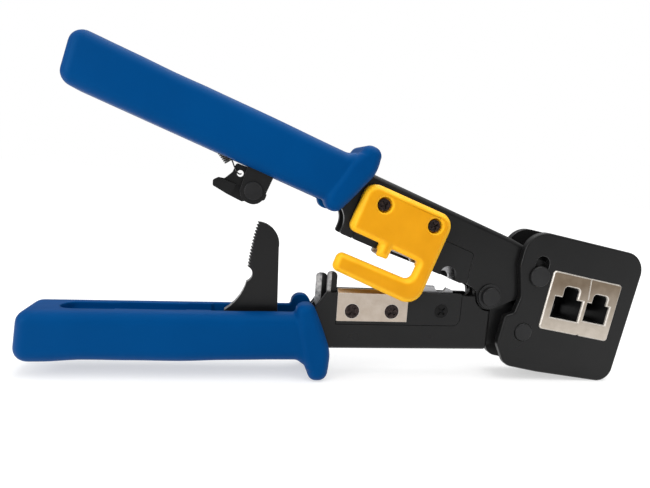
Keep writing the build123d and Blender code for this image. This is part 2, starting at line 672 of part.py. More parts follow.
WIRE_EXIT_HALF, WIRE_EXIT_TOP = 4.2, 11.0
with BuildPart() as head_rear_plate:
    head_plate(-HEAD_OUT, -HEAD_IN, DRIVE_PIN + RUNNING)
    for centre, floor in ((WIDE_PLUG_X, 7.6), (NARROW_PLUG_X, 8.5)):
        box(
            HEAD,
            -HEAD_OUT,
            -HEAD_IN,
            centre - WIRE_EXIT_HALF,
            floor,
            centre + WIRE_EXIT_HALF,
            WIRE_EXIT_TOP,
            mode=Mode.SUBTRACT,
        )
    rod(HEAD, -HEAD_OUT, -HEAD_IN, SCREW_SHANK, *SPACERS_AT, mode=Mode.SUBTRACT)
    countersink(HEAD, -HEAD_OUT, SCREW_HEAD, SCREW_SHANK, *SPACERS_AT)
    rod(HEAD, -HEAD_OUT, -HEAD_OUT + 0.9, 3.5, HEAD_PIN_AT_HEAD, mode=Mode.SUBTRACT)
finish(head_rear_plate, "head_rear_plate")

# Nickel plate, proud of the head, with a parting line and a notch between the two dies
with BuildPart() as die_plate:
    slab(HEAD, DIE_BACK, DIE_FACE, *DIE_OUTLINE)
    with BuildSketch(HEAD.offset(DIE_BACK)) as openings:
        plug_profiles()
    extrude(openings.sketch, amount=DIE_FACE - DIE_BACK, mode=Mode.SUBTRACT)
    chamfer(die_plate.faces().sort_by(Axis.Y)[0].edges(), 0.35)
    slab(
        HEAD,
        DIE_FACE - 0.25,
        DIE_FACE,
        (20.9, DIE_TOP),
        (21.25, DIE_TOP),
        (22.3, 16.6),
        (21.95, 16.6),
        mode=Mode.SUBTRACT,
    )
    notch = ((21.2, DIE_FLOOR), (22.6, DIE_FLOOR), (21.9, DIE_FLOOR + 0.6))
    slab(HEAD, DIE_BACK, DIE_FACE, *notch, mode=Mode.SUBTRACT)
finish(die_plate, "die_plate")

# Die block behind it: plug cavities with slots in their floor for the contact punches
PUNCH_LOW, PUNCH_HIGH = -1.9, 0.5
with BuildPart() as die_block:
    box(HEAD, BLOCK_BACK, HEAD_IN, BLOCK_LEFT, BLOCK_FLOOR, DIE_RIGHT, DIE_TOP)
    slab(HEAD, HEAD_IN, DIE_BACK, *DIE_OUTLINE)
    with BuildSketch(HEAD.offset(BLOCK_BACK)) as openings:
        plug_profiles()
    extrude(openings.sketch, amount=DIE_BACK - BLOCK_BACK, mode=Mode.SUBTRACT)
    for centre, half in ((WIDE_PLUG_X, 4.8), (NARROW_PLUG_X, 3.8)):
        box(
            HEAD,
            PUNCH_LOW - 0.2,
            PUNCH_HIGH + 0.2,
            centre - half - 0.2,
            BLOCK_FLOOR,
            centre + half + 0.2,
            9.0,
            mode=Mode.SUBTRACT,
        )
finish(die_block, "die_block")

with BuildPart() as head_spacers:
    for centre in SPACERS_AT:
        rod(HEAD, -HEAD_IN, HEAD_IN, 2.3, centre)
        rod(HEAD, HEAD_IN, HEAD_IN + SPIGOT, 1.5, centre)
        rod(HEAD, -HEAD_IN, 0, SCREW_SHANK, centre, mode=Mode.SUBTRACT)
finish(head_spacers, "head_spacers")

with BuildPart() as head_screws:
    cross_screws(HEAD, -HEAD_OUT, SCREW_HEAD, SCREW_SHANK, 0, *SPACERS_AT)
finish(head_screws, "head_screws")

with BuildPart() as head_pivot_pin:
    rod(HEAD, -HEAD_OUT + 0.9, HEAD_OUT - 0.9, HEAD_PIN, HEAD_PIN_AT_HEAD)
    rod(HEAD, HEAD_OUT - 0.9, HEAD_OUT + 0.6, 3.3, HEAD_PIN_AT_HEAD)
    rod(HEAD, -HEAD_OUT - 0.6, -HEAD_OUT + 0.9, 3.3, HEAD_PIN_AT_HEAD)
    fillet(head_pivot_pin.edges().filter_by(lambda edge: abs(edge.center().Y) > HEAD_OUT + 0.5), 0.45)
finish(head_pivot_pin, "head_pivot_pin")

with BuildPart() as head_pivot_washers:
    tube(HEAD, TONGUE_OUT + 0.1, HEAD_IN, 4.2, HEAD_PIN, HEAD_PIN_AT_HEAD)
    tube(HEAD, -HEAD_IN, -TONGUE_OUT - 0.1, 4.2, HEAD_PIN, HEAD_PIN_AT_HEAD)
finish(head_pivot_washers, "head_pivot_washers")

# ---------------------------------------------------------------- ram

RAM_HALF = 2.8
ARM_TOP, ARM_FLOOR = -1.8, -6.4
CARRIER_BACK = -4.1
TRIM_SCREWS_AT = ((15.0, -4.4), (27.0, -4.4))
TRIM_BACK = -4.9

# C-shaped slide: pin boss above, leg past the head's pin, arm below the dies
with BuildPart() as ram_block:
    with BuildSketch(HEAD.offset(-RAM_HALF)) as slide:
        outline(
            slide,
            (-4.2, SLOT_REST + 1),
            (-4.0, SLOT_REST - 4),
            (5.1, 12.0, 2.0),
            (5.1, ARM_FLOOR),
            (33.4, ARM_FLOOR, 1.0),
            (33.4, ARM_TOP, 1.0),
            (7.8, ARM_TOP),
            (7.8, SLOT_REST + 4, 2.0),
        )
        with Locations(DRIVE_IN_HEAD):
            Circle(4.8)
            Circle(DRIVE_PIN, mode=Mode.SUBTRACT)
    extrude(amount=2 * RAM_HALF)
    box(HEAD, CARRIER_BACK, -RAM_HALF, 11.0, ARM_FLOOR, 31.0, -2.6)
    rod(HEAD, CARRIER_BACK, 1.0, 1.0, *TRIM_SCREWS_AT, mode=Mode.SUBTRACT)
finish(ram_block, "ram_block")


def contact_punch(centre, teeth, top):
    """Comb that presses one plug's contacts: a bar with one tooth for each contact."""
    half = teeth * 1.2 / 2
    box(HEAD, PUNCH_LOW, PUNCH_HIGH, centre - half, ARM_TOP, centre + half, top - 1.2)
    for index in range(teeth):
        x = centre + (index - (teeth - 1) / 2) * 1.02
        box(HEAD, PUNCH_LOW, PUNCH_HIGH, x - 0.25, top - 1.2, x + 0.25, top)


with BuildPart() as wide_contact_punch:
    contact_punch(WIDE_PLUG_X, 8, 3.7)
finish(wide_contact_punch, "wide_contact_punch")

with BuildPart() as narrow_contact_punch:
    contact_punch(NARROW_PLUG_X, 6, 4.6)
finish(narrow_contact_punch, "narrow_contact_punch")

# Blade behind the dies that trims the wires as the ram rises
with BuildPart() as trimming_blade:
    box(HEAD, TRIM_BACK, CARRIER_BACK, 9.0, ARM_FLOOR, 32.6, 3.9)
    chamfer(long_edges(trimming_blade, HEAD, 3.9, -TRIM_BACK), 0.7, 1.2)
    rod(HEAD, TRIM_BACK, CARRIER_BACK, 1.0, *TRIM_SCREWS_AT, mode=Mode.SUBTRACT)
    countersink(HEAD, TRIM_BACK, 1.7, 1.0, *TRIM_SCREWS_AT)
finish(trimming_blade, "trimming_blade")

with BuildPart() as trimming_blade_screws:
    cross_screws(HEAD, TRIM_BACK, 1.7, 1.0, 1.0, *TRIM_SCREWS_AT)
finish(trimming_blade_screws, "trimming_blade_screws")

with BuildPart() as drive_pin:
    rod(HEAD, -HEAD_OUT - 1.1, HEAD_OUT + 1.1, DRIVE_PIN, DRIVE_IN_HEAD)
    rod(HEAD, HEAD_IN + 0.1, HEAD_OUT + 1.1, PIN_SHOULDER, DRIVE_IN_HEAD)
    rod(HEAD, HEAD_OUT + 0.1, HEAD_OUT + 1.1, 3.8, DRIVE_IN_HEAD)
    fillet(drive_pin.edges().sort_by(Axis.Y)[0], 0.5)
finish(drive_pin, "drive_pin")

# Spring clip that keeps the drive pin in at the back
with BuildPart() as drive_pin_clip:
    with BuildSketch(HEAD.offset(-HEAD_OUT - 0.9)) as clip:
        with Locations(DRIVE_IN_HEAD):
            Circle(3.6)
            Circle(DRIVE_PIN, mode=Mode.SUBTRACT)
        with Locations((SLOT_OFFSET, SLOT_REST - 3)):
            Rectangle(2.2, 4, mode=Mode.SUBTRACT)
    extrude(amount=0.6)
finish(drive_pin_clip, "drive_pin_clip")
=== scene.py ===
"""Looks for the ratcheting crimping tool: materials, springs, grips, light and camera.

Metres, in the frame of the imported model. Places in an arm's plane are in millimetres from the
main pivot, as the tool is seen from the front.
"""

import json
from math import cos, pi, radians, sin

import bmesh
import bpy
from mathutils import Euler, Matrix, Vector


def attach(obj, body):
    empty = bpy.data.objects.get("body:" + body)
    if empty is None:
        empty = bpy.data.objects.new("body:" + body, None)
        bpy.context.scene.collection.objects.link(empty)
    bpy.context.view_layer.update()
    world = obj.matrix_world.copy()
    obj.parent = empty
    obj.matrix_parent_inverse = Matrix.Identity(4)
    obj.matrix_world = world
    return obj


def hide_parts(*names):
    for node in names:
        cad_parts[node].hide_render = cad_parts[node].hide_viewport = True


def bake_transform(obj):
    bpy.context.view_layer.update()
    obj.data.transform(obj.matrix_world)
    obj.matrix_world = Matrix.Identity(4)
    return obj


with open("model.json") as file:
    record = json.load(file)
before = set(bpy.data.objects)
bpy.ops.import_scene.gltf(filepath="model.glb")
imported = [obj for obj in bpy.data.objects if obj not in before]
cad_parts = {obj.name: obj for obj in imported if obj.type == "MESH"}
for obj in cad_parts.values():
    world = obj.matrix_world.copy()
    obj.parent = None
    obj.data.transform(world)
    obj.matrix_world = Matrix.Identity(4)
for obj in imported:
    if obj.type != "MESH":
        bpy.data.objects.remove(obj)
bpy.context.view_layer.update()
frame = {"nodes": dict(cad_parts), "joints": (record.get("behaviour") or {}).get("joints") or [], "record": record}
MM = 0.001


# ------------------------------------------------------------------ shader helpers


def node_tree(name):
    """A new material with only a Principled shader and its output."""
    material = bpy.data.materials.new(name)
    material.use_nodes = True
    shader = material.node_tree.nodes["Principled BSDF"]
    return material, material.node_tree, shader


def set_inputs(shader, **values):
    """Set shader sockets by name, with underscores for spaces."""
    for name, value in values.items():
        shader.inputs[name.replace("_", " ")].default_value = value


def noise(tree, scale, detail=2.0, rough=0.5, stretch=(1, 1, 1)):
    """Noise in object space: `scale` is features per metre."""
    coords = tree.nodes.new("ShaderNodeTexCoord")
    mapping = tree.nodes.new("ShaderNodeMapping")
    mapping.inputs["Scale"].default_value = stretch
    texture = tree.nodes.new("ShaderNodeTexNoise")
    texture.inputs["Scale"].default_value = scale
    texture.inputs["Detail"].default_value = detail
    texture.inputs["Roughness"].default_value = rough
    tree.links.new(coords.outputs["Object"], mapping.inputs["Vector"])
    tree.links.new(mapping.outputs["Vector"], texture.inputs["Vector"])
    return texture.outputs["Fac"]


def ramp(tree, factor, *stops):
    """A colour ramp; each stop is (position, grey or colour)."""
    node = tree.nodes.new("ShaderNodeValToRGB")
    elements = node.color_ramp.elements
    while len(elements) < len(stops):
        elements.new(0.5)
    for element, (position, value) in zip(elements, stops):
        element.position = position
        element.color = (value, value, value, 1) if isinstance(value, float) else (*value, 1)
    tree.links.new(factor, node.inputs["Fac"])
    return node.outputs["Color"]


def mixed(tree, factor, first, second):
    """Blend two colours by a factor that varies over the surface."""
    node = tree.nodes.new("ShaderNodeMix")
    node.data_type = "RGBA"
    inputs = {socket.identifier: socket for socket in node.inputs}
    outputs = {socket.identifier: socket for socket in node.outputs}
    tree.links.new(factor, inputs["Factor_Float"])
    tree.links.new(first, inputs["A_Color"])
    tree.links.new(second, inputs["B_Color"])
    return outputs["Result_Color"]


def between(tree, value, low, high):
    """A value's place between two limits: 0 at the first and 1 at the second."""
    node = tree.nodes.new("ShaderNodeMapRange")
    node.inputs["From Min"].default_value = low
    node.inputs["From Max"].default_value = high
    tree.links.new(value, node.inputs["Value"])
    return node.outputs["Result"]


def rise(tree, low, high):
    """0 at the low place and 1 at the high one, both in metres above the floor at rest."""
    coords = tree.nodes.new("ShaderNodeTexCoord")
    split = tree.nodes.new("ShaderNodeSeparateXYZ")
    tree.links.new(coords.outputs["Object"], split.inputs["Vector"])
    return between(tree, split.outputs["Z"], low, high)


def rounded(tree, radius):
    """The surface's normal with its edges rounded by a radius in metres."""
    node = tree.nodes.new("ShaderNodeBevel")
    node.samples = 8
    node.inputs["Radius"].default_value = radius
    return node.outputs["Normal"]


def off_face(tree, normal):
    """0 where a normal lies along y and 1 where it lies across y."""
    split = tree.nodes.new("ShaderNodeSeparateXYZ")
    size = tree.nodes.new("ShaderNodeMath")
    size.operation = "ABSOLUTE"
    tree.links.new(normal, split.inputs["Vector"])
    tree.links.new(split.outputs["Y"], size.inputs[0])
    return between(tree, size.outputs["Value"], 1, 0)


def bump(tree, shader, *layers, normal=None):
    """Stack bump layers on a normal; each is (height, distance in metres, strength)."""
    for height, distance, strength in layers:
        node = tree.nodes.new("ShaderNodeBump")
        node.inputs["Distance"].default_value = distance
        node.inputs["Strength"].default_value = strength
        tree.links.new(height, node.inputs["Height"])
        if normal:
            tree.links.new(normal, node.inputs["Normal"])
        normal = node.outputs["Normal"]
    tree.links.new(normal, shader.inputs["Normal"])


# ------------------------------------------------------------------ materials

PLATE_SHADE_HEIGHTS = (0.019, 0.037)  # painted shade: between these heights the die plate turns from grey to darker and browner
GUARD_CORNER = 0.0016  # how softly the guard's corners are shaded


def black_coat(name, dark, light, rough):
    """Satin black finish on steel: a fine orange-peel, and a roughness that varies about one value."""
    material, tree, shader = node_tree(name)
    clouds = noise(tree, 90, 3)
    grain = noise(tree, 2600, 2)
    tree.links.new(ramp(tree, clouds, (0.35, dark), (0.7, light)), shader.inputs["Base Color"])
    tree.links.new(ramp(tree, clouds, (0.3, rough - 0.06), (0.7, rough + 0.06)), shader.inputs["Roughness"])
    bump(tree, shader, (grain, 0.00002, 0.35))
    set_inputs(shader, Specular_IOR_Level=0.2)
    return material


def bare_edge_highlight():
    """Sheared steel edges where the coating is thin, lighter than the coat; only faces turned toward the light get
    them, so they are partly a painted highlight.
    """
    material, tree, shader = node_tree("worn_steel_edge_painted_highlight")
    streaks = noise(tree, 900, 3, stretch=(1, 0.15, 1))
    tree.links.new(
        ramp(tree, streaks, (0.3, (0.14, 0.14, 0.145)), (0.65, (0.42, 0.41, 0.40))),
        shader.inputs["Base Color"],
    )
    tree.links.new(ramp(tree, streaks, (0.3, 0.5), (0.7, 0.32)), shader.inputs["Roughness"])
    bump(tree, shader, (streaks, 0.00003, 0.3))
    set_inputs(shader, Metallic=0.7)
    return material


def nickel(name, dark, light, shaded_top=(), metal=1.0):
    """Satin nickel plate: warm grey, mottled, with a fine cast grain, and, if asked, painted shade that turns it
    darker and browner higher up.
    """
    material, tree, shader = node_tree(name)
    mottle = noise(tree, 260, 4, 0.6)
    grain = noise(tree, 5200, 3, 0.7)
    colour = ramp(tree, mottle, (0.3, dark), (0.7, light))
    if shaded_top:
        top_shade = ramp(tree, mottle, (0.3, shaded_top[0]), (0.7, shaded_top[1]))
        # painted shade: darker and browner toward the top of the plate
        colour = mixed(tree, rise(tree, *PLATE_SHADE_HEIGHTS), colour, top_shade)
    tree.links.new(colour, shader.inputs["Base Color"])
    tree.links.new(ramp(tree, grain, (0.3, 0.26), (0.7, 0.38)), shader.inputs["Roughness"])
    bump(tree, shader, (grain, 0.00002, 0.4), (mottle, 0.00005, 0.1))
    set_inputs(shader, Metallic=metal)
    return material


def ground_steel():
    """Blade steel with grinding lines."""
    material, tree, shader = node_tree("ground_blade_steel")
    lines = noise(tree, 1500, 3, stretch=(0.06, 1, 1))
    tree.links.new(
        ramp(tree, lines, (0.3, (0.28, 0.28, 0.29)), (0.7, (0.46, 0.46, 0.47))),
        shader.inputs["Base Color"],
    )
    tree.links.new(ramp(tree, lines, (0.3, 0.28), (0.7, 0.42)), shader.inputs["Roughness"])
    bump(tree, shader, (lines, 0.00002, 0.3))
    set_inputs(shader, Metallic=0.95)
    return material


def dark_screw():
    """Blackened screw steel with a bronze tone, rubbed bright in places."""
    material, tree, shader = node_tree("blackened_screw")
    rub = noise(tree, 1400, 3)
    tree.links.new(
        ramp(tree, rub, (0.35, (0.010, 0.007, 0.007)), (0.75, (0.048, 0.032, 0.029))),
        shader.inputs["Base Color"],
    )
    tree.links.new(ramp(tree, rub, (0.3, 0.34), (0.7, 0.2)), shader.inputs["Roughness"])
    bump(tree, shader, (rub, 0.00003, 0.3))
    set_inputs(shader, Metallic=0.8)
    return material


def spring_wire():
    """Oiled dark spring wire."""
    material, tree, shader = node_tree("spring_wire")
    tone = noise(tree, 1200, 2)
    tree.links.new(
        ramp(tree, tone, (0.3, (0.03, 0.03, 0.032)), (0.7, (0.11, 0.105, 0.10))),
        shader.inputs["Base Color"],
    )
    tree.links.new(ramp(tree, tone, (0.3, 0.36), (0.7, 0.26)), shader.inputs["Roughness"])
    set_inputs(shader, Metallic=0.85)
    return material


def blue_plastic():
    """Blue moulded grip: satin skin with a fine texture and slight tone clouds."""
    material, tree, shader = node_tree("blue_moulded_grip")
    clouds = noise(tree, 38, 3)
    skin = noise(tree, 3000, 2)
    flow = noise(tree, 160, 3, stretch=(0.25, 1, 1))
    tree.links.new(
        ramp(tree, clouds, (0.3, (0.0, 0.042, 0.162)), (0.7, (0.0, 0.048, 0.182))),
        shader.inputs["Base Color"],
    )
    tree.links.new(ramp(tree, flow, (0.3, 0.46), (0.7, 0.55)), shader.inputs["Roughness"])
    bump(tree, shader, (skin, 0.00002, 0.35), (flow, 0.0001, 0.12))
    set_inputs(shader, Specular_IOR_Level=0.14, Specular_Tint=(0.1, 0.6, 1.0, 1))
    return material


def yellow_plastic():
    """Yellow moulding with soft corners; its turned faces and corners are painted a lighter yellow than its face,
    a painted highlight, and its skin passes a little light.
    """
    material, tree, shader = node_tree("yellow_moulded_guard")
    clouds = noise(tree, 120, 3)
    skin = noise(tree, 3400, 2)
    corners = rounded(tree, GUARD_CORNER)
    face = ramp(tree, clouds, (0.3, (0.64, 0.270, 0.003)), (0.7, (0.70, 0.305, 0.005)))
    lit_edge = ramp(tree, clouds, (0.3, (0.86, 0.430, 0.012)), (0.7, (0.93, 0.500, 0.020)))
    # painted highlight: faces turned away from the front take the lighter yellow
    share = ramp(tree, off_face(tree, corners), (0.01, 0.0), (0.22, 1.0))
    tree.links.new(mixed(tree, share, face, lit_edge), shader.inputs["Base Color"])
    tree.links.new(ramp(tree, clouds, (0.3, 0.36), (0.7, 0.42)), shader.inputs["Roughness"])
    bump(tree, shader, (skin, 0.00002, 0.3), normal=corners)
    set_inputs(
        shader,
        Specular_IOR_Level=0.3,
        Specular_Tint=(1.0, 0.75, 0.3, 1),
        Subsurface_Weight=0.12,
        Subsurface_Scale=0.002,
        Subsurface_Radius=(1.0, 0.6, 0.1),
    )
    return material


# By the material slots of the record
MATERIALS = {
    "black_steel": black_coat("satin_black_sheet", (0.0060, 0.0060, 0.0062), (0.0085, 0.0085, 0.0086), 0.33),
    "jaw_steel": black_coat("satin_black_block", (0.0065, 0.0066, 0.0068), (0.0095, 0.0095, 0.0098), 0.36),
    "black_fastener": dark_screw(),
    "nickel_plate": nickel("satin_nickel", (0.40, 0.335, 0.275), (0.47, 0.405, 0.345)),
    "blade_steel": ground_steel(),
    "spring_steel": spring_wire(),
    "blue_grip": blue_plastic(),
    "yellow_guard": yellow_plastic(),
}
BARE_EDGE_HIGHLIGHT = bare_edge_highlight()
PIN_COAT = black_coat("black_pin_coat", (0.011, 0.011, 0.0115), (0.018, 0.018, 0.0185), 0.34)
SCREW_COAT = black_coat("black_screw_coat", (0.0002, 0.0002, 0.0002), (0.0010, 0.0010, 0.0010), 0.5)
# The die plate's nickel, with painted shade darker and browner toward its top
DIE_COAT = nickel(
    "nickel_painted_top_shade",
    (0.44, 0.39, 0.33),
    (0.52, 0.465, 0.405),
    shaded_top=((0.165, 0.125, 0.088), (0.215, 0.168, 0.122)),
)
# Lighter nickel for the rims and the die plate's sides: a painted highlight
NICKEL_RIM_HIGHLIGHT = nickel("nickel_rim_painted_highlight", (0.52, 0.48, 0.43), (0.61, 0.57, 0.52), metal=0.45)
# Lighter black for the broken edges: partly the coating rubbed thin, partly a painted highlight
RUBBED_AND_HIGHLIGHT_RIM = black_coat("black_rim_rubbed_and_painted_highlight", (0.035, 0.035, 0.036), (0.10, 0.10, 0.10), 0.3)
# Rim finishes: painted highlight on the broken edges of each slot's parts
RIMS = {"nickel_plate": NICKEL_RIM_HIGHLIGHT, "black_steel": RUBBED_AND_HIGHLIGHT_RIM, "jaw_steel": RUBBED_AND_HIGHLIGHT_RIM}

# Nodes whose finish isn't their slot's
COATS = {
    "main_pivot_pin": PIN_COAT,
    "pivot_washers": PIN_COAT,
    "pawl_pin": PIN_COAT,
    "head_pivot_pin": PIN_COAT,
    "head_pivot_washers": PIN_COAT,
    "drive_pin": PIN_COAT,
    "lower_jaw_screw": SCREW_COAT,
    "die_plate": DIE_COAT,
}


# ------------------------------------------------------------------ CAD nodes

# How much each node's sharp edges are broken, in millimetres
PLAIN_EDGE = 0.15
EDGE_BREAK = {
    "blade_guard": 0.5,
    "die_plate": 0.1,
    "cutting_blade": 0.1,
    "ratchet_rack": 0.12,
    "main_pivot_pin": 0.3,
    "head_pivot_pin": 0.35,
    "pawl_pin": 0.25,
    "lower_arm": 0.2,
    "upper_arm": 0.2,
    "lower_jaw": 0.2,
    "upper_jaw": 0.2,
}
LEAF_EDGE = 0.25
SHARP = radians(30)  # an edge that turns more than this is broken
FLAT = radians(0.3)  # faces that turn less than this are joined
SEAM = 0.002  # points closer than this are joined


def soften(piece, width, rim=None):
    """Round a piece's sharp edges without moving its mesh; the rims may have their own, lighter finish, a painted
    highlight.
    """
    weld = piece.modifiers.new("merge_seams", "WELD")
    weld.merge_threshold = SEAM * MM
    flat = piece.modifiers.new("join_flats", "DECIMATE")
    flat.decimate_type = "DISSOLVE"
    flat.angle_limit = FLAT
    bevel = piece.modifiers.new("edge_break", "BEVEL")
    bevel.width = width * MM
    bevel.segments = 2
    bevel.limit_method = "ANGLE"
    bevel.loop_slide = False
    bevel.angle_limit = SHARP
    bevel.use_clamp_overlap = True
    if rim:
        piece.data.materials.append(rim)
        bevel.material = len(piece.data.materials) - 1
    shade = piece.modifiers.new("face_weights", "WEIGHTED_NORMAL")
    shade.weight = 100
    shade.keep_sharp = True
    if "custom_normal" in piece.data.attributes:
        piece.data.attributes.remove(piece.data.attributes["custom_normal"])
    for polygon in piece.data.polygons:
        polygon.use_smooth = True


def dress(piece, material):
    """Give a piece its material."""
    piece.data.materials.clear()
    piece.data.materials.append(material)


def refinish(piece, material, chosen):
    """Give another finish to the faces whose normal is chosen."""
    piece.data.materials.append(material)
    for polygon in piece.data.polygons:
        if chosen(polygon.normal):
            polygon.material_index = len(piece.data.materials) - 1


def toothed_side(normal):
    """Whether a face of the rack is one of its sheared sides toward the upper left."""
    return abs(normal.y) < 0.3 and normal.dot(Vector((-0.8, 0, 0.6))) > 0.6


def off_front(normal):
    """Whether a face of the die plate is turned away from its front and back."""
    return abs(normal.y) < 0.96


SLOT_OF = {entry["node"]: entry["material_slot"] for entry in frame["record"]["subparts"]}
for node, piece in frame["nodes"].items():
    dress(piece, COATS.get(node, MATERIALS[SLOT_OF[node]]))
    soften(piece, EDGE_BREAK.get(node, PLAIN_EDGE), RIMS.get(SLOT_OF[node]))
# painted highlight: only the rack's sides turned to the upper left take the bare steel
refinish(frame["nodes"]["ratchet_rack"], BARE_EDGE_HIGHLIGHT, toothed_side)
# painted highlight: the die plate's sides and opening walls take the lighter rim nickel
refinish(frame["nodes"]["die_plate"], NICKEL_RIM_HIGHLIGHT, off_front)


# ------------------------------------------------------------------ arm planes

JOINTS = {joint["name"]: joint for joint in frame["joints"]}
PIVOT = Vector(JOINTS["handle_close"]["pos_m"])
LOWER_TILT, UPPER_TILT = radians(0.64), radians(-19.36)


class ArmPlane:
    """An arm's side plane, seen from the front: x along the arm, y up, `off` toward the front."""

    def __init__(self, tilt):
        self.x_axis = Vector((cos(tilt), 0, sin(tilt)))
        self.y_axis = Vector((-sin(tilt), 0, cos(tilt)))

    def point(self, x, y, off=0.0):
        """A place given in millimetres in the plane, as a point in the frame."""
        return PIVOT + (self.x_axis * x + self.y_axis * y + Vector((0, -off, 0))) * MM

    def local(self, point):
        """Where a point of the frame is in the plane, in millimetres."""
        away = (point - PIVOT) / MM
        return away.dot(self.x_axis), away.dot(self.y_axis)


LOWER, UPPER = ArmPlane(LOWER_TILT), ArmPlane(UPPER_TILT)


# ------------------------------------------------------------------ mesh helpers


def new_piece(name, mesh, material):
    """Link a mesh as a smooth-shaded piece."""
    piece = bpy.data.objects.new(name, mesh)
    bpy.context.scene.collection.objects.link(piece)
    dress(piece, material)
    for polygon in mesh.polygons:
        polygon.use_smooth = True
    return piece


def final_mesh(piece):
    """The mesh that a piece has after its modifiers, as plain data."""
    bpy.context.view_layer.update()
    graph = bpy.context.evaluated_depsgraph_get()
    mesh = bpy.data.meshes.new_from_object(piece.evaluated_get(graph), depsgraph=graph)
    bpy.data.objects.remove(piece)
    return mesh


def smoothstep(value, low, high):
    """0 below `low`, 1 above `high`, eased between."""
    share = min(max((value - low) / (high - low), 0), 1)
    return share * share * (3 - 2 * share)


# ------------------------------------------------------------------ grips

# Millimetres in the arm's plane. Each swell's point is (place along the arm, how far the back stands out)
LOWER_SWELL = ((-160, 1.0), (-150, 0.9), (-137, 0.25), (-124, 0.4), (-108, 0.6), (-92, 0.2), (-76, 0.0))
UPPER_SWELL = ((-160, 0.1), (-140, 0.0), (-128, -0.15), (-116, 0.05), (-96, 0.15), (-76, 0.0))
BACK_SIDE = (9, 22)  # the swell grows over these distances from the arm's line
ROOT_SWELL = 1.6  # the back stands out this far where it meets the flange
ROOT_START, ROOT_END = -71.0, -66.8  # the root's swell grows between these places along the arm
FLANGE_RIM = (23.5, 27.0)  # the root's swell fades out over these distances from the arm's line
SKIN_GRAIN = 0.42  # the moulding's mesh size


def swell(points, x):
    """How far a grip's back stands out at x: eased between the swell's points."""
    for (left, low), (right, high) in zip(points, points[1:]):
        if x < right:
            return low + (high - low) * smoothstep(x, left, right)
    return 0.0


def moulded_grip(node, body, plane, outward, back):
    """A grip as one soft moulding: rounded all over, with a gently wavy back."""
    blank = bpy.data.objects.new("blank", frame["nodes"][node].data.copy())
    bpy.context.scene.collection.objects.link(blank)
    skin = blank.modifiers.new("skin", "REMESH")
    skin.mode = "VOXEL"
    skin.voxel_size = SKIN_GRAIN * MM
    ease = blank.modifiers.new("ease", "SMOOTH")
    ease.factor = 0.5
    ease.iterations = 4
    mesh = final_mesh(blank)
    for vertex in mesh.vertices:
        x, y = plane.local(vertex.co)
        depth = smoothstep(y * outward, *BACK_SIDE)
        root = smoothstep(x, ROOT_START, ROOT_END) ** 2 * (1 - smoothstep(y * outward, *FLANGE_RIM))
        vertex.co += plane.y_axis * outward * (swell(back, x) + ROOT_SWELL * root) * depth * MM
    grip = new_piece(node + "_moulding", mesh, MATERIALS["blue_grip"])
    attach(grip, body)
    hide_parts(node)


moulded_grip("lower_grip", "lower_handle", LOWER, -1, LOWER_SWELL)
moulded_grip("upper_grip", "upper_handle", UPPER, 1, UPPER_SWELL)


# ------------------------------------------------------------------ alignment leaves

# Millimetres in the lower arm's plane: where each leaf's ground slope starts, the height that it
# starts at, and how far and how steeply it runs
REAR_LEAF_CUT, FRONT_LEAF_CUT = -61.0, -58.4
LEAF_FOOT = -13.5
SLOPE_RUN, SLOPE_RATE = 1.7, 0.55


def leaf_slope(point):
    """How far a point of a leaf is left of where its ground slope starts, in millimetres."""
    start = REAR_LEAF_CUT if point.y > 0 else FRONT_LEAF_CUT
    return start - LOWER.local(point)[0]


def left_side(normal):
    """Whether a face of a leaf is turned to the left."""
    return normal.x < -0.25


def alignment_leaves():
    """The upright leaves, each ground on a slope along its left side; their left-turned faces get bare steel,
    lighter as a painted highlight.
    """
    leaves = bpy.data.objects.new("leaves", frame["nodes"]["alignment_fork"].data.copy())
    bpy.context.scene.collection.objects.link(leaves)
    form = bmesh.new()
    form.from_mesh(leaves.data)
    for cut in (REAR_LEAF_CUT, FRONT_LEAF_CUT):
        everything = form.verts[:] + form.edges[:] + form.faces[:]
        bmesh.ops.bisect_plane(form, geom=everything, plane_co=LOWER.point(cut, 0), plane_no=LOWER.x_axis)
    for vertex in form.verts:
        slope = leaf_slope(vertex.co)
        if slope > 0 and LOWER.local(vertex.co)[1] > LEAF_FOOT:
            vertex.co.y += min(slope, SLOPE_RUN) * SLOPE_RATE * MM
    form.to_mesh(leaves.data)
    form.free()
    soften(leaves, LEAF_EDGE)
    piece = new_piece("alignment_leaves", final_mesh(leaves), MATERIALS["black_steel"])
    # painted highlight: only the leaves' left-turned faces take the bare steel
    refinish(piece, BARE_EDGE_HIGHLIGHT, left_side)
    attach(piece, "lower_handle")
    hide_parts("alignment_fork")


alignment_leaves()


# ------------------------------------------------------------------ springs


def wire(name, points, thickness):
    """Round wire through the points, as a mesh."""
    path = bpy.data.curves.new(name, "CURVE")
    path.dimensions = "3D"
    path.bevel_depth = thickness / 2 * MM
    path.bevel_resolution = 3
    path.use_fill_caps = True
    spline = path.splines.new("NURBS")
    spline.points.add(len(points) - 1)
    for target, point in zip(spline.points, points):
        target.co = (*point, 1)
    spline.order_u = 3
    spline.use_endpoint_u = True
    spline.resolution_u = 4
    line = bpy.data.objects.new(name, path)
    bpy.context.scene.collection.objects.link(line)
    return new_piece(name, final_mesh(line), MATERIALS["spring_steel"])


def coil(start, end, radius, turns, steps=12):
    """Points of a helix round the line from start to end; radius in millimetres."""
    axis = (end - start).normalized()
    side = axis.orthogonal().normalized()
    other = axis.cross(side)
    points = []
    for index in range(turns * steps + 1):
        angle = 2 * pi * index / steps
        along = start.lerp(end, index / (turns * steps))
        points.append(along + (side * cos(angle) + other * sin(angle)) * radius * MM)
    return points


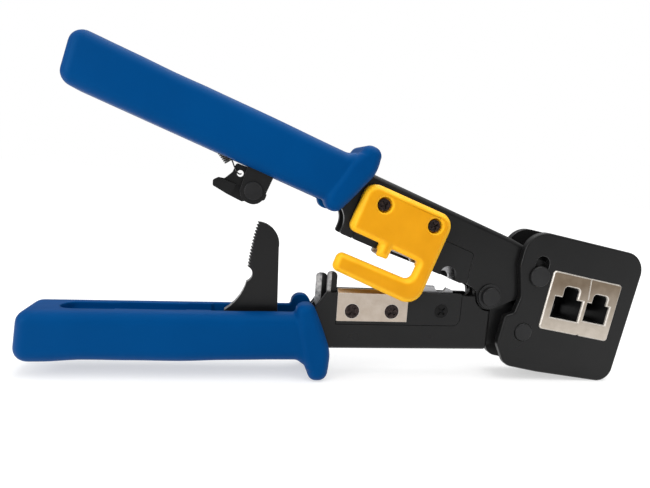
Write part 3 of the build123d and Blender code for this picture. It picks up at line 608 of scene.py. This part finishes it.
def pawl_spring():
    """Extension spring from the lever's hole to the anchor pin inside the arm."""
    radius, turns, thickness = 1.45, 12, 0.45
    first, last = UPPER.point(-103.4, 6.7), UPPER.point(-110.6, 11.0)
    hook = [
        UPPER.point(-98.2, 4.5, -0.9),
        UPPER.point(-98.5, 4.1, 0.6),
        UPPER.point(-99.8, 4.4, 2.0),
        UPPER.point(-101.3, 5.9, 1.9),
    ]
    tail = [UPPER.point(-112.0, 12.4, 0.6), UPPER.point(-113.4, 13.4, 0.4), UPPER.point(-114.3, 12.4, 0.0)]
    spring = wire("pawl_spring_coil", hook + coil(first, last, radius, turns) + tail, thickness)
    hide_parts("pawl_spring")
    UPPER.point(-106, 7.6)
    UPPER.point(-100.2, 5.2)
    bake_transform(spring)


def return_spring():
    """Torsion spring on the main pivot, with a leg against each arm."""
    radius, leg_off, steps, thickness = 3.85, 0.62, 16, 1.0
    lower_leg = [LOWER.point(-radius, y, leg_off) for y in (-14.6, -7, -2)]
    upper_leg = [UPPER.point(-radius, y, -leg_off) for y in (2, 8, 16.6)]
    ring = []
    for index in range(steps + 1):
        share = index / steps
        angle = pi + 2 * pi * share
        ring.append(LOWER.point(radius * cos(angle), radius * sin(angle), leg_off * (1 - 2 * share)))
    spring = wire("return_spring_coil", lower_leg + ring + upper_leg, thickness)
    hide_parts("return_spring")
    UPPER.point(-4, 0.5)
    UPPER.point(-4, 5)
    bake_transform(spring)


pawl_spring()
return_spring()


# ------------------------------------------------------------------ stage, light, camera

FLOOR_REACH = 6.0  # from the sheet's middle to its sides
SHADED, CLEAR = 0.14, 0.6  # the paper glows more from the first distance to the second
SHADED_GLOW, CLEAR_GLOW = 0.54, 0.66


def floor():
    """A wide pale sheet that the tool stands on; it glows, more so away from the tool."""
    mesh = bpy.data.meshes.new("floor")
    form = bmesh.new()
    bmesh.ops.create_grid(form, x_segments=8, y_segments=8, size=FLOOR_REACH)
    form.to_mesh(mesh)
    form.free()
    sheet = bpy.data.objects.new("floor", mesh)
    bpy.context.scene.collection.objects.link(sheet)
    material, tree, shader = node_tree("pale_paper")
    paper = noise(tree, 30, 2)
    tree.links.new(ramp(tree, paper, (0.3, 0.49), (0.7, 0.5)), shader.inputs["Base Color"])
    set_inputs(shader, Roughness=0.85, Specular_IOR_Level=0.1, Emission_Color=(1, 1, 1, 1))
    coords = tree.nodes.new("ShaderNodeTexCoord")
    distance = tree.nodes.new("ShaderNodeVectorMath")
    distance.operation = "LENGTH"
    tree.links.new(coords.outputs["Object"], distance.inputs[0])
    fade = tree.nodes.new("ShaderNodeMapRange")
    fade.interpolation_type = "SMOOTHSTEP"
    fade.inputs["From Min"].default_value = SHADED
    fade.inputs["From Max"].default_value = CLEAR
    fade.inputs["To Min"].default_value = SHADED_GLOW
    fade.inputs["To Max"].default_value = CLEAR_GLOW
    tree.links.new(distance.outputs["Value"], fade.inputs["Value"])
    tree.links.new(fade.outputs["Result"], shader.inputs["Emission Strength"])
    mesh.materials.append(material)


def area_light(name, place, target, width, height, watts):
    """A soft box aimed at a point."""
    light = bpy.data.lights.new(name, "AREA")
    light.shape = "RECTANGLE"
    light.size = width
    light.size_y = height
    light.energy = watts
    box = bpy.data.objects.new(name, light)
    box.location = place
    box.rotation_euler = (Vector(target) - Vector(place)).to_track_quat("-Z", "Y").to_euler()
    bpy.context.scene.collection.objects.link(box)


def sky():
    """White background; what lights the tool is bright above and dimmer toward the horizon."""
    world = bpy.data.worlds.new("studio")
    bpy.context.scene.world = world
    world.use_nodes = True
    tree = world.node_tree
    tree.nodes.clear()
    coords = tree.nodes.new("ShaderNodeTexCoord")
    split = tree.nodes.new("ShaderNodeSeparateXYZ")
    tree.links.new(coords.outputs["Generated"], split.inputs["Vector"])
    glow = tree.nodes.new("ShaderNodeMapRange")
    glow.inputs["From Min"].default_value = 0.15
    glow.inputs["From Max"].default_value = 0.8
    glow.inputs["To Min"].default_value = 0.12
    glow.inputs["To Max"].default_value = 1.0
    tree.links.new(split.outputs["Z"], glow.inputs["Value"])
    surroundings = tree.nodes.new("ShaderNodeBackground")
    tree.links.new(glow.outputs["Result"], surroundings.inputs["Strength"])
    backdrop = tree.nodes.new("ShaderNodeBackground")
    backdrop.inputs["Strength"].default_value = 1.0
    for node in (surroundings, backdrop):
        node.inputs["Color"].default_value = (1, 1, 1, 1)
    path = tree.nodes.new("ShaderNodeLightPath")
    mix = tree.nodes.new("ShaderNodeMixShader")
    tree.links.new(path.outputs["Is Camera Ray"], mix.inputs["Fac"])
    tree.links.new(surroundings.outputs[0], mix.inputs[1])
    tree.links.new(backdrop.outputs[0], mix.inputs[2])
    output = tree.nodes.new("ShaderNodeOutputWorld")
    tree.links.new(mix.outputs[0], output.inputs["Surface"])


def camera():
    """Close in front of the tool, above its middle and left of its pivot."""
    lens = bpy.data.cameras.new("camera")
    lens.sensor_width = 36.0
    lens.lens = 28.74
    lens.clip_start = 0.01
    view = bpy.data.objects.new("camera", lens)
    view.location = PIVOT + Vector((-94.978, -175.0, 37.316)) * MM
    view.rotation_euler = Euler((radians(82.861), radians(-4.572), radians(-10.361)), "XYZ")
    bpy.context.scene.collection.objects.link(view)
    bpy.context.scene.camera = view


floor()
sky()
area_light("top_box", (0.15, 0.0, 0.75), (0.05, 0, 0.03), 1.3, 0.7, 6.5)
area_light("left_box", (-0.62, -0.42, 0.26), (0, 0, 0.05), 0.3, 0.4, 3.0)
camera()
bpy.context.scene.view_settings.view_transform = "Standard"
